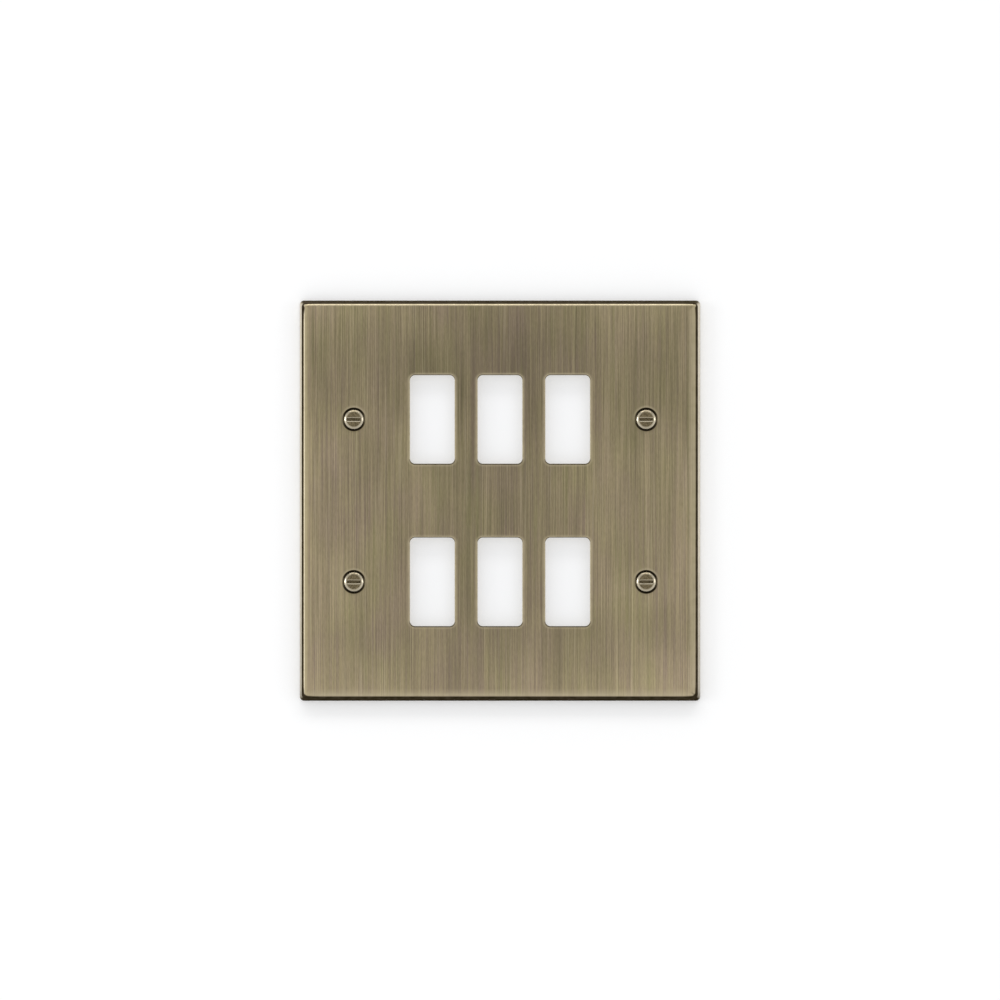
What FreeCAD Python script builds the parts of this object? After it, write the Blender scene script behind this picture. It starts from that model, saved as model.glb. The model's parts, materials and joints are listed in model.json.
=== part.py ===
import FreeCAD, Part
import math
import os

# Square front plate for a grid of switch modules, with its fixing screws, in millimetres.
# X runs to the right seen from the room, Z runs up and Y runs from the room into the wall.
# The rim of the plate stands on the wall plane y = 0, and the origin is the centre of that plane.

# Pressed sheet
SHEET = 1.0                   # thickness of the sheet
PLATE_SIDE = 148.0            # outside of the rim, where the plate meets the wall
PLATE_DEPTH = 4.5             # from the front face back to the rim
SKIRT_DRAFT = 16.0            # degrees that the skirt flares towards the wall
BEND_INSIDE = 0.2             # inside radius of the bend between face and skirt
CORNER_INSIDE = 0.6           # inside radius of the drawn corners of the skirt

# Windows for the switch modules
COLUMNS = 3
ROWS = 2
MODULE_PITCH = 25.0           # between the columns of windows
ROW_PITCH = 60.0              # between the rows of windows, and of screws
WINDOW_WIDTH = 16.5
WINDOW_HEIGHT = 32.7
WINDOW_CORNER = 1.9
WINDOW_BREAK = 0.2            # front edge of each window, broken all round

# Fixing screws, with raised countersunk heads and a slot that stops inside the sloping rim
SCREW_SPACING = 108.0         # between the left and right screws
THREAD_DIAMETER = 3.5
SCREW_LENGTH = 16.0           # from the edge of the head to the tip
TIP_CHAMFER = 0.5
NECK_DIAMETER = 3.1           # plain shank under the head, where the thread runs out
NECK_LENGTH = 1.0
HEAD_DIAMETER = 7.4
HEAD_LAND = 0.15              # short cylinder at the edge of the head
CROWN_DIAMETER = 5.3          # flat top of the head
CROWN_RISE = 0.6              # from the land up to the flat top
RIM_BULGE = 0.06              # how far the sloping rim swells out from a straight cone
SLOT_WIDTH = 1.0
SLOT_DEPTH = 0.9
SLOT_LIP = 0.15               # chamfer along the slot
SLOT_END_WALL = 0.1           # from the end of the slot to the edge of the flat top

# Formed seats for the screws
SEAT_HALF_ANGLE = 45.0        # degrees between the seat's cone and its axis
SEAT_GAP = 0.05               # play along the axis between the head and its seat
HEAD_SINK = 0.6               # from the face down to the edge of the head
HOLE_CLEARANCE = 0.5          # added to the thread's diameter for the hole
HOLE_WALL = 0.4               # straight wall of the hole below the cone
SEAT_ROLL = 0.35              # rounding of the seat's mouth

# Worked out from the sizes above
FACE_Y = -PLATE_DEPTH
BEND_OUTSIDE = BEND_INSIDE + SHEET
CORNER_OUTSIDE = CORNER_INSIDE + SHEET
FLARE = math.tan(math.radians(SKIRT_DRAFT))
SEAT_SLOPE = math.tan(math.radians(SEAT_HALF_ANGLE))
HEAD_RADIUS = HEAD_DIAMETER / 2
CROWN_RADIUS = CROWN_DIAMETER / 2
THREAD_RADIUS = THREAD_DIAMETER / 2
NECK_RADIUS = NECK_DIAMETER / 2
HOLE_RADIUS = THREAD_RADIUS + HOLE_CLEARANCE / 2
MOUTH_RADIUS = HEAD_RADIUS + (HEAD_SINK + SEAT_GAP) * SEAT_SLOPE
CONE_END = (MOUTH_RADIUS - HOLE_RADIUS) / SEAT_SLOPE
SEAT_END = CONE_END + HOLE_WALL
PAST = SHEET                  # how far a cutting tool runs past the sheet
NEAR = 1e-6                   # two places closer than this are the same

ROW_HEIGHTS = [(row - (ROWS - 1) / 2) * ROW_PITCH for row in range(ROWS)]
COLUMN_PLACES = [(column - (COLUMNS - 1) / 2) * MODULE_PITCH for column in range(COLUMNS)]
SCREW_PLACES = [FreeCAD.Vector(side * SCREW_SPACING / 2, 0, z) for z in ROW_HEIGHTS for side in (-1, 1)]
WINDOW_PLACES = [FreeCAD.Vector(x, 0, z) for z in ROW_HEIGHTS for x in COLUMN_PLACES]
AXIS = FreeCAD.Vector(0, 1, 0)


def edges_in_plane(shape, y):
    """Edges of the shape that lie wholly in the plane at this y."""
    boxes = [(edge, edge.BoundBox) for edge in shape.Edges]
    return [edge for edge, box in boxes if abs(box.YMin - y) < NEAR and abs(box.YMax - y) < NEAR]


def front_edges_near(shape, places, reach_x, reach_z):
    """Edges on the front face whose middle lies within reach of one of these places."""
    found = []
    for edge in edges_in_plane(shape, FACE_Y):
        offsets = [edge.CenterOfMass - place for place in places]
        if any(abs(offset.x) < reach_x + NEAR and abs(offset.z) < reach_z + NEAR for offset in offsets):
            found.append(edge)
    return found


def moved(shape, place):
    """Copy of the shape shifted to this place."""
    copy = shape.copy()
    copy.translate(place)
    return copy


def flared_block(inset, front_y, corner, bend):
    """Block behind the skirt's outside, inset by a thickness, from front_y back to the wall plane."""
    rim = PLATE_SIDE / 2 - inset / math.cos(math.radians(SKIRT_DRAFT))
    face = rim + front_y * FLARE
    block = Part.makeWedge(-face, front_y, -face, -rim, -rim, face, 0, face, rim, rim)
    slanted = [edge for edge in block.Edges if edge.BoundBox.YLength > PLATE_DEPTH / 2]
    block = block.makeFillet(corner, slanted)
    return block.makeFillet(bend, edges_in_plane(block, front_y))


def turned(outline):
    """Solid turned about the Y axis from edges that close an outline in the XY plane."""
    return Part.Face(Part.Wire(outline)).revolve(FreeCAD.Vector(0, 0, 0), AXIS, 360)


def straight_runs(points):
    """Straight edges through (radius, y) points in turn."""
    places = [FreeCAD.Vector(radius, y, 0) for radius, y in points]
    return [Part.LineSegment(start, end).toShape() for start, end in zip(places, places[1:])]


def seat_body():
    """Outside of one formed seat: the sheet carried down around the cone at its own thickness."""
    wall = SHEET / math.cos(math.radians(SEAT_HALF_ANGLE))
    start = SHEET / 2
    start_radius = MOUTH_RADIUS + wall - start * SEAT_SLOPE
    end_radius = MOUTH_RADIUS + wall - SEAT_END * SEAT_SLOPE
    return turned(straight_runs([
        (0, FACE_Y + start),
        (start_radius, FACE_Y + start),
        (end_radius, FACE_Y + SEAT_END),
        (0, FACE_Y + SEAT_END),
        (0, FACE_Y + start),
    ]))


def seat_cut():
    """Inside of one formed seat: the cone and the straight hole below it."""
    return turned(straight_runs([
        (0, FACE_Y - PAST),
        (MOUTH_RADIUS + PAST * SEAT_SLOPE, FACE_Y - PAST),
        (HOLE_RADIUS, FACE_Y + CONE_END),
        (HOLE_RADIUS, FACE_Y + SEAT_END + PAST),
        (0, FACE_Y + SEAT_END + PAST),
        (0, FACE_Y - PAST),
    ]))


def window_cut():
    """Punch for one window, with rounded corners."""
    low = FreeCAD.Vector(-WINDOW_WIDTH / 2, FACE_Y - PAST, -WINDOW_HEIGHT / 2)
    punch = Part.makeBox(WINDOW_WIDTH, SHEET + 2 * PAST, WINDOW_HEIGHT, low)
    return punch.makeFillet(WINDOW_CORNER, [edge for edge in punch.Edges if edge.BoundBox.YLength > SHEET])


def front_plate():
    """One pressed sheet: flat face, flared skirt, punched windows and formed screw seats."""
    outside = flared_block(0, FACE_Y, CORNER_OUTSIDE, BEND_OUTSIDE)
    inside = flared_block(SHEET, FACE_Y + SHEET, CORNER_INSIDE, BEND_INSIDE)
    tray = outside.cut(inside).fuse([moved(seat_body(), place) for place in SCREW_PLACES])
    cuts = [moved(seat_cut(), place) for place in SCREW_PLACES]
    cuts += [moved(window_cut(), place) for place in WINDOW_PLACES]
    plate = tray.cut(cuts).removeSplitter()
    mouths = front_edges_near(plate, SCREW_PLACES, MOUTH_RADIUS, MOUTH_RADIUS)
    plate = plate.makeFillet(SEAT_ROLL, mouths)
    windows = front_edges_near(plate, WINDOW_PLACES, WINDOW_WIDTH / 2, WINDOW_HEIGHT / 2)
    return plate.makeChamfer(WINDOW_BREAK, windows).Solids[0]


def slot_cut(crown_y):
    """Slot with chamfered lips, whose ends follow the edge of the flat top."""
    half = SLOT_WIDTH / 2
    lip_y = crown_y + SLOT_LIP
    floor_y = crown_y + SLOT_DEPTH
    mouth = half + SLOT_LIP + PAST
    section = [
        (-mouth, crown_y - PAST),
        (mouth, crown_y - PAST),
        (half, lip_y),
        (half, floor_y),
        (-half, floor_y),
        (-half, lip_y),
        (-mouth, crown_y - PAST),
    ]
    outline = Part.makePolygon([FreeCAD.Vector(-CROWN_RADIUS, y, z) for z, y in section])
    bar = Part.Face(outline).extrude(FreeCAD.Vector(CROWN_DIAMETER, 0, 0))
    top = FreeCAD.Vector(0, crown_y - PAST, 0)
    return bar.common(Part.makeCylinder(CROWN_RADIUS - SLOT_END_WALL, SLOT_DEPTH + 2 * PAST, top, AXIS))


def fixing_screw():
    """One screw on the Y axis, seated in the cone of the plate."""
    edge_y = FACE_Y + HEAD_SINK
    land_y = edge_y - HEAD_LAND
    crown_y = land_y - CROWN_RISE
    neck_y = edge_y + (HEAD_RADIUS - NECK_RADIUS) / SEAT_SLOPE
    thread_y = neck_y + NECK_LENGTH
    tip_y = edge_y + SCREW_LENGTH
    crown_edge = FreeCAD.Vector(CROWN_RADIUS, crown_y, 0)
    land_edge = FreeCAD.Vector(HEAD_RADIUS, land_y, 0)
    swell = FreeCAD.Vector(CROWN_RISE, CROWN_RADIUS - HEAD_RADIUS, 0).normalize() * RIM_BULGE
    outline = straight_runs([(0, tip_y), (0, crown_y), (CROWN_RADIUS, crown_y)])
    outline.append(Part.Arc(crown_edge, (crown_edge + land_edge) * 0.5 + swell, land_edge).toShape())
    outline += straight_runs([
        (HEAD_RADIUS, land_y),
        (HEAD_RADIUS, edge_y),
        (NECK_RADIUS, neck_y),
        (NECK_RADIUS, thread_y),
        (THREAD_RADIUS, thread_y + THREAD_RADIUS - NECK_RADIUS),
        (THREAD_RADIUS, tip_y - TIP_CHAMFER),
        (THREAD_RADIUS - TIP_CHAMFER, tip_y),
        (0, tip_y),
    ])
    return turned(outline).cut(slot_cut(crown_y))


def fixing_screws():
    """The like screws, each a solid of its own."""
    screw = fixing_screw()
    return Part.Compound([moved(screw, place) for place in SCREW_PLACES])


os.makedirs("parts", exist_ok=True)
front_plate().exportStep("parts/front_plate.step")
fixing_screws().exportStep("parts/fixing_screws.step")
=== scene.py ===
import json
import math
from collections import namedtuple
from functools import partial

import bmesh
import bpy
from bpy.props import FloatProperty, FloatVectorProperty, IntProperty, PointerProperty
from mathutils import Euler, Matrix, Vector


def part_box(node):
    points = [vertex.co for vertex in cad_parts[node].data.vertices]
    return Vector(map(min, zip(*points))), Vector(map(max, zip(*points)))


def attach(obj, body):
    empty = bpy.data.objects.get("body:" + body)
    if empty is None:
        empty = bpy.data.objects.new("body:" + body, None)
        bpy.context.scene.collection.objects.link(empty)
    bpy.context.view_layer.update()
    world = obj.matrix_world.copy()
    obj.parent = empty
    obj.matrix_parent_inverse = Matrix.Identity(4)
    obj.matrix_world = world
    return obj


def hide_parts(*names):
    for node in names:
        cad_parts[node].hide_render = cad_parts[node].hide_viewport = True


bl_info = {
    "name": "Grid Switch Plate",
    "version": (1, 0, 0),
    "blender": (4, 5, 0),
    "location": "3D View > Sidebar > Grid Plate",
    "description": "Pressed brass front plate for a grid of switch modules, with its screws and a wall",
    "category": "Add Mesh",
}

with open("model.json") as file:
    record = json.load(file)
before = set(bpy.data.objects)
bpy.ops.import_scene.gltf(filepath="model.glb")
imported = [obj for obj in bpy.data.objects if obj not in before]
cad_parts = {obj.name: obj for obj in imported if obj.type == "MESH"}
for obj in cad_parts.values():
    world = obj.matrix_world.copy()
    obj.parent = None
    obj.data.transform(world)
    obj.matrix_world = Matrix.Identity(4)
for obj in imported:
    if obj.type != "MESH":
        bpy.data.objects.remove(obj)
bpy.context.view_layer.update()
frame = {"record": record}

MM = 0.001
WELD = 1e-6                  # points closer than this, in metres, are one point
QUARTER_TURN = math.pi / 2

# The plate is worked out lying down: X to the right, Y up the wall and Z out into the room.
# STAND_UP then turns it into the frame, where Z is up and the room lies towards -Y.
STAND_UP = (QUARTER_TURN, 0.0, 0.0)

FRONT = 0                    # values of the "finish" face attribute
BACK = 1

# How far an outline faces left, right, up and down at a point, how near to a corner the point is, and its
# level, from -1 at the foot of the outline to 1 at its top.
Facing = namedtuple("Facing", "left right up down corner level")

# An amount for each way that a point can face.
Sides = namedtuple("Sides", "left right up down", defaults=(0.0, 0.0, 0.0, 0.0))

# One closed line of points, how rubbed and how patinated the metal is there, for the whole ring or point
# by point, the finish of the strip that leads on to the next ring, and whether the ring is a crease.
# The rub mask also carries painted highlight, and the patina mask painted shade.
Ring = namedtuple("Ring", "points rub patina finish crease", defaults=(0.0, 0.0, FRONT, False))

# Rub and painted light of one ring round a window: how bare its sides are, how much barer its top is as a
# painted highlight, and how dark its top and its bottom are as painted shade.
WindowRubAndShade = namedtuple("WindowRubAndShade", "rub lift upper lower")

# Noise: how large its features are along X, Y and Z in millimetres, where it starts and how it breaks up.
Pattern = namedtuple("Pattern", "sizes shift detail roughness", defaults=(0.0, 2.0, 0.5))

# The range that a value is carried from and the range that it is carried to.
Spread = namedtuple("Spread", "low high to_low to_high")

# A lamp's place, width and height in metres, and its radiance.
Lamp = namedtuple("Lamp", "name place width height radiance")


def mount_sizes(name):
    """Sizes of one of the record's mounts."""
    return next(mount["dims"] for mount in frame["record"]["mounts"] if mount["name"] == name)


SCREW_PATTERN = mount_sizes("plate_screws")
PLATE_LOW, PLATE_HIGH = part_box("front_plate")
SCREW_LOW, SCREW_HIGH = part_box("fixing_screws")


# Values that a user can change

def length(name, description, default):
    """A length in metres that a user can change."""
    return FloatProperty(name=name, description=description, default=default, min=0.0, unit="LENGTH",
                         precision=5)


def angle(name, description, degrees):
    """An angle that a user can change."""
    return FloatProperty(name=name, description=description, default=math.radians(degrees), unit="ROTATION")


def colour(name, description, default):
    """A linear colour that a user can change."""
    return FloatVectorProperty(name=name, description=description, default=default, min=0.0, max=1.0,
                               size=3, subtype="COLOR")


def amount(name, description, default):
    """A plain factor that a user can change."""
    return FloatProperty(name=name, description=description, default=default, min=0.0)


class PlateSizes(bpy.types.PropertyGroup):
    """Sizes of the pressed sheet"""
    side: length("Side", "Outside of the rim, where the plate meets the wall", PLATE_HIGH.x - PLATE_LOW.x)
    depth: length("Depth", "From the front face back to the rim", PLATE_HIGH.y - PLATE_LOW.y)
    sheet: length("Sheet", "Thickness of the sheet", 1.0 * MM)
    draft: angle("Draft", "How far the skirt flares towards the wall", 16.0)
    bend: length("Bend", "Inside radius of the bend between face and skirt", 0.2 * MM)
    corner: length("Corner", "Inside radius of the drawn corners", 0.6 * MM)
    rim_break: length("Rim break", "Broken edges of the rim", 0.1 * MM)
    columns: IntProperty(name="Columns", description="Windows side by side", default=3, min=1)
    rows: IntProperty(name="Rows", description="Rows of windows", default=2, min=1)
    module_pitch: length("Module pitch", "Between the columns of windows", 25.0 * MM)
    row_pitch: length("Row pitch", "Between the rows of windows", SCREW_PATTERN["spacing_y_mm"] * MM)
    window_width: length("Window width", "Clear width of one window", 16.5 * MM)
    window_height: length("Window height", "Clear height of one window", 32.7 * MM)
    window_corner: length("Window corner", "Radius of the window's corners", 1.9 * MM)
    window_roll: length("Window roll", "Rounding of the window's front edge", 0.2 * MM)
    seat_mouth: length("Seat mouth", "Radius of the screw seat at the face, before it is rounded", 4.35 * MM)
    seat_roll: length("Seat roll", "Rounding of the seat's mouth", 0.35 * MM)
    seat_hole: length("Seat hole", "Radius of the hole below the seat", 2.0 * MM)
    seat_wall: length("Seat wall", "Straight wall of the hole", 0.4 * MM)


class ScrewSizes(bpy.types.PropertyGroup):
    """Sizes of one fixing screw and of the pattern of four"""
    across: length("Across", "Between the left and right screws", SCREW_PATTERN["spacing_x_mm"] * MM)
    upright: length("Upright", "Between the upper and lower screws", SCREW_PATTERN["spacing_y_mm"] * MM)
    thread: length("Thread", "Radius over the thread's crests", SCREW_PATTERN["stud_r_mm"] * MM)
    pitch: length("Pitch", "Travel of the thread in one turn", 0.6 * MM)
    tip: length("Tip", "Chamfer at the end of the thread", 0.5 * MM)
    neck: length("Neck", "Radius of the plain shank under the head", 1.55 * MM)
    neck_length: length("Neck length", "Length of the plain shank", 1.0 * MM)
    head: length("Head", "Radius of the head", 3.7 * MM)
    land: length("Land", "Short cylinder at the edge of the head", 0.15 * MM)
    crown: length("Crown", "Radius of the flat top", 2.65 * MM)
    rise: length("Rise", "From the land up to the flat top", 0.6 * MM)
    bulge: length("Bulge", "How far the sloping rim swells out from a straight cone", 0.06 * MM)
    slot: length("Slot", "Width of the slot", 1.0 * MM)
    slot_depth: length("Slot depth", "Depth of the slot", 0.9 * MM)
    slot_lip: length("Slot lip", "Chamfer along the slot", 0.15 * MM)
    slot_end: length("Slot end", "From the slot's end to the edge of the flat top", 0.1 * MM)


class FinishColours(bpy.types.PropertyGroup):
    """Colours of the aged brass"""
    brushed: colour("Brushed", "Brushed face of the plate", (0.285, 0.234, 0.1445))
    olive: colour("Olive", "Greener streaks in the brushing", (0.215, 0.188, 0.105))
    umber: colour("Umber", "Warm grey streaks in the brushing", (0.215, 0.170, 0.1215))
    moss: colour("Moss", "Tint of the greener patches on the face", (0.970, 0.991, 0.925))
    heather: colour("Heather", "Tint of the greyer patches on the face", (0.985, 0.970, 1.000))
    rubbed: colour("Rubbed", "Metal laid bare on bends and edges", (0.470, 0.403, 0.272))
    # Painted highlight tint: the left margin made yellower where the left light falls.
    left_highlight_tint: colour("Gilt", "Tint of the yellower margin along the left side", (1.000, 0.985, 0.870))
    # Also used as painted shade along the windows' top and bottom edges.
    patina: colour("Patina", "Dark tarnish on skirt, seats and slots", (0.026, 0.019, 0.009))
    # Black painted shade that deepens the patina in the seat recess round each screw head.
    seat_shade_black: colour("Soot", "Blackest tarnish, round the screws", (0.006, 0.0045, 0.002))
    unbrushed: colour("Unbrushed", "Dull rolled metal of the back", (0.300, 0.245, 0.150))
    screw: colour("Screw", "Turned metal of the screws", (0.140, 0.112, 0.064))
    # Also the painted highlight on the rims' left and right and on the thread's crests.
    polish_and_highlight: colour("Polished", "Rims of the screws and crests of their thread", (0.555, 0.497, 0.380))
    # Bare metal painted pale as a highlight where the side lights fall on the skirt's left and right walls.
    side_highlight: colour("Lit", "Bare metal of the skirt's left and right sides", (0.705, 0.645, 0.535))


class StageValues(bpy.types.PropertyGroup):
    """Camera, wall and light"""
    lens: FloatProperty(name="Lens", description="Focal length of the camera", default=400.0, min=1.0,
                        unit="CAMERA")
    view_width: length("View width", "Width of the picture at the plate's face", 369.3 * MM)
    eye_height: length("Eye height", "From the plate's middle up to the camera", 0.24 * MM)
    wall_gap: length("Wall gap", "From the rim back to the wall", 0.3 * MM)
    wall_side: length("Wall side", "Width and height of the wall", 8.0)
    wall: colour("Wall", "Colour of the wall", (0.964, 0.967, 0.971))
    wall_upper: amount("Wall upper", "Shade of the wall at the top of the picture, by the top light", 0.968)
    wall_lower: amount("Wall lower", "Shade of the wall at the foot of the picture", 1.024)
    wall_behind: colour("Wall behind", "Colour of the wall behind the windows", (0.925, 0.939, 0.964))
    glow: amount("Glow", "How far the wall beside the plate shines white by itself", 0.08)
    window_glow: amount("Window glow", "How far the wall behind the windows shines white by itself", 0.45)
    room: amount("Room", "Light of the room on matt surfaces", 0.87)


class GridPlateSettings(bpy.types.PropertyGroup):
    """All that a user can change"""
    plate: PointerProperty(type=PlateSizes)
    screws: PointerProperty(type=ScrewSizes)
    finish: PointerProperty(type=FinishColours)
    stage: PointerProperty(type=StageValues)


# Patterns and shades of the brushed face

HAIRLINES = Pattern((0.16, 2.0, 26.0), detail=1.0)
FINE_STREAKS = Pattern((0.45, 3.0, 48.0), shift=3.1, detail=1.0)
BROAD_STREAKS = Pattern((3.2, 9.0, 120.0), shift=7.7, detail=1.0)
HUE_STREAKS = Pattern((0.9, 5.0, 60.0), shift=12.4)
HUE_CLOUDS = Pattern((22.0, 22.0, 34.0), shift=15.8)
CLOUDS = Pattern((24.0, 24.0, 34.0), shift=1.9)
PATCHES = Pattern((12.0, 12.0, 24.0), shift=33.2, detail=3.0, roughness=0.6)
SCRATCHES = Pattern((0.30, 2.0, 36.0), shift=21.7, detail=0.0)
GRIT = Pattern((0.30, 0.35, 2.2), shift=27.0, detail=1.0)
EDGE_WEAR = Pattern((2.5, 2.5, 2.5), shift=4.2)
NOISE_MIDDLE = 0.5

DARK_LEFT = 3.0 * MM         # how far left of the plate's middle the face is darkest
DARK_HEIGHT = 49.0 * MM      # how far above the plate's middle the face is darkest
UPWARD_FADE = 1.35           # how much faster that dark fades upwards than downwards
MIDDLE_SHADE = Spread(28.0 * MM, 78.0 * MM, 0.945, 1.145)
SEAM_SHADE = Spread(2.0 * MM, 22.0 * MM, 0.95, 1.0)
UPPER_SHADE = Spread(3.0 * MM, 46.0 * MM, 0.81, 1.0)
LOWER_SHADE = Spread(-72.0 * MM, -50.0 * MM, 1.25, 1.02)

LOWER_WARMTH = Spread(-72.0 * MM, -30.0 * MM, 0.06, 0.0)
HUE_MIX = Spread(0.40, 0.60, 0.0, 1.0)
FINE_MIX = Spread(0.30, 0.70, 0.0, 1.0)
HAIRLINE_DEPTH = Spread(-59.0 * MM, 59.0 * MM, 0.62, 1.0)
GRIT_SHADE = Spread(0.3, 0.7, 0.92, 1.08)
BROAD_SHADE = Spread(0.3, 0.7, 0.93, 1.07)
SCRATCH_MIX = Spread(0.66, 0.80, 0.0, 0.3)
CLOUD_SHADE = Spread(0.35, 0.65, 0.92, 1.09)
PATCH_MIX = Spread(0.35, 0.65, 0.0, 1.0)

RUB_WEAR = Spread(0.3, 0.6, 0.72, 1.0)
# Where the painted highlight tint runs along the left margin.
LEFT_HIGHLIGHT_MARGIN = Spread(-73.0 * MM, -69.0 * MM, 1.0, 0.0)
LIT_GRIT = Spread(0.3, 0.7, 0.92, 1.06)
LIT_WEAR = Spread(0.3, 0.6, 0.80, 1.0)
PATINA_WEAR = Spread(0.35, 0.7, 0.0, 0.12)

HAIRLINE_SHARE = 0.6         # of the relief, the rest being fine streaks
BRUSHED_ROUGHNESS = Spread(0.3, 0.7, 0.46, 0.34)
RUBBED_ROUGHNESS = -0.10     # added to the roughness where the face is rubbed
TARNISHED_ROUGHNESS = 0.12
LIT_ROUGHNESS = 0.26
BRUSHED_ANISOTROPY = 0.5
BRUSHED_BUMP = 0.12
BUMP_DEPTH = 0.02 * MM

# Patterns and shades of the back

MOTTLE = Pattern((6.0, 6.0, 9.0), detail=5.0, roughness=0.65)
ROLLING_MARKS = Pattern((0.35, 0.5, 34.0), shift=5.5)
STAINS = Pattern((12.0, 12.0, 18.0), shift=9.3, detail=6.0, roughness=0.7)
MOTTLE_MIX = Spread(0.35, 0.65, 0.0, 0.30)
ROLLING_SHADE = Spread(0.3, 0.7, 0.88, 1.12)
STAIN_MIX = Spread(0.56, 0.74, 0.0, 0.22)
BACK_ROUGHNESS = Spread(0.3, 0.7, 0.42, 0.60)
BACK_BUMP = 0.10

# Patterns and shades of the screws

SCREW_WEAR = Pattern((0.8, 0.8, 0.8), detail=3.0)
SCUFFS = Pattern((0.5, 0.5, 0.45), shift=6.1)
SCUFF_REACH = Spread(-3.0 * MM, -1.5 * MM, 1.0, 0.3)
SCUFF_SHADE = Spread(0.3, 0.7, 0.50, 1.50)
POLISH_WEAR = Spread(0.3, 0.6, 0.85, 1.0)
SCREW_ROUGHNESS = Spread(0.3, 0.7, 0.26, 0.18)
SLOT_ROUGHNESS = 0.2         # added to the roughness where a screw is tarnished
SCREW_BUMP = 0.08

# Rings of the skirt, their wear and their painted highlight. A share runs from 0 to 1 round the bend, or down
# the skirt's wall.

SKIRT_POINTS = {"corner_steps": 10, "side_steps": 24}
BEND_STEPS = 12
INSIDE_BEND_STEPS = 6
WALL_SHARES = (0.04, 0.16, 0.24, 0.36)
FACE_MARGIN = 2.5 * MM       # from the bend in to where wear and painted highlight of the face end
INNER_MARGIN = 1.2 * MM      # from the bend in to where wear and painted highlight of the face are faint
CORNER_REACH = 3.0 * MM      # how far along a side its corner's tarnish reaches
CORNER_SHARPNESS = 4

# How much barer the face's margins and the bend's crest are on each side: rubbed metal, with the differences
# between the sides painted highlight where the lamps fall.
INNER_RUB_AND_HIGHLIGHT = Sides(left=0.16, right=0.42, down=0.26)
MARGIN_RUB_AND_HIGHLIGHT = Sides(left=0.76, right=0.56, down=0.68)
# Past 1, rub on the skirt's left and right walls brings in their painted highlight.
WALL_SIDE_HIGHLIGHT = Sides(left=2.0, right=2.0)
CREST_RUB_AND_HIGHLIGHT = Sides(left=0.4, right=-0.45, down=-0.25)
CREST_REACH = 0.8            # share of the bend that its bare crest takes up
CREST_REACH_SIDES = Sides(left=-0.2)
CREST_REACH_CORNER = 0.7
CREST_SHAPE = 0.8

BEND_ONSET = 0.56            # share of the bend at which its tarnish starts
BEND_ONSET_SIDES = Sides(left=-0.20, right=-0.39, down=-0.36)
BEND_ONSET_CORNER = 0.48
BEND_ONSET_NEAR_CORNER = 0.14
BEND_ONSET_RUN = 0.22

# A strip on the skirt's left and right walls is bare metal painted pale as a highlight where the side lights
# fall, fading towards the foot and round the corners.
STRIP_START = Sides(left=0.24, right=0.10)
STRIP_RUN = 0.12
UPPER_TURN = (0.58, 0.36)    # how far to the side the painted highlight strip starts in the upper corners, and its run
LOWER_TURN = (0.7, 0.3)
STRIP_FALL = (0.25, 0.55)    # how far below the middle the painted highlight strip starts to fade, and its run
STRIP_FADE = 0.25
TOP_PALENESS = 0.06

# Rings of a window, their wear, and their painted highlight and shade

WINDOW_POINTS = {"corner_steps": 10, "side_steps": 8}
WINDOW_ROLL_STEPS = 5
WINDOW_MARGIN = 1.3 * MM
# The rub of the bands is worn metal; the barer top is painted highlight, and the dark top and bottom lines
# are painted shade.
WINDOW_BANDS = (
    (0.65 * MM, WindowRubAndShade(0.36, -0.4, 0.0, 0.0)),
    (0.46 * MM, WindowRubAndShade(0.56, 0.5, 0.0, 0.0)),
    (0.38 * MM, WindowRubAndShade(0.64, 0.5, 0.0, 0.80)),
    (0.30 * MM, WindowRubAndShade(0.64, 0.5, 0.76, 0.84)),
)
WINDOW_LIP = WindowRubAndShade(0.65, 0.5, 0.80, 0.84)
WINDOW_LIP_GAIN = 0.20       # how much barer the lip gets round its turn
WINDOW_FOOT_COVER = 0.2
WINDOW_BACK_PATINA = 0.5

# Rings of a screw seat, their wear, and their painted highlight and shade

SEAT_POINTS = 72
SEAT_ROLL_STEPS = 6
SEAT_MARGIN = 0.9 * MM
# Patina of the seat's cone, deepened past 1 into black painted shade in the recess round the screw head and
# lightened at left and right where side light falls; a painted highlight on the mouth above the screw and
# painted shade below it.
SEAT_PATINA_AND_SHADE = 1.8
SEAT_SIDE_FADE = 1.38
SEAT_SIDE_SHARPNESS = 4
SEAT_RUB = 0.16
SEAT_HIGHLIGHT_ABOVE = 0.40
SEAT_SHADE_BELOW = 0.16
HOLE_PATINA = 0.8

# Rings of a screw, their wear, and their painted highlight and shade

SLOT_END_POINTS = 6
SLOT_SIDE_POINTS = 26
SLOT_FLOOR_PATINA = 0.37
UPPER_LIP_RUB = 0.55
LOWER_LIP_RUB = 1.0
LIP_BAND = (0.18 * MM, 0.01 * MM)         # how far out from the slot's lip and ends its bare band reaches
LIP_BAND_EDGE = (0.26 * MM, 0.02 * MM)
CROWN_MARGIN = 0.06 * MM
RIM_STEPS = 8
# The rim's rub is polished metal; more at its left and right is painted highlight where side light falls, and
# less at its top is painted shade.
RIM_RUB = 0.66
RIM_SIDE_HIGHLIGHT = 0.34
RIM_UPPER_SHADE = 0.46
RIM_RUB_START = 0.3
RIM_RUB_SLOPE = 2.0
LAND_RUB = 0.4
LAND_PATINA = 0.5
NECK_PATINA = 0.4

# Depth of the thread and widths of its flat root, flat crest and flanks, as shares of its pitch
THREAD_DEPTH = 0.6134
ROOT_FLAT = 0.25
CREST_FLAT = 0.125
FLANK = (1.0 - ROOT_FLAT - CREST_FLAT) / 2
# Painted highlight on the thread's crests and painted shade in its roots.
THREAD_CREST_HIGHLIGHT = 0.6
THREAD_ROOT_SHADE = 0.6

# Lamps, which all shine at the middle of the plate

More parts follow.
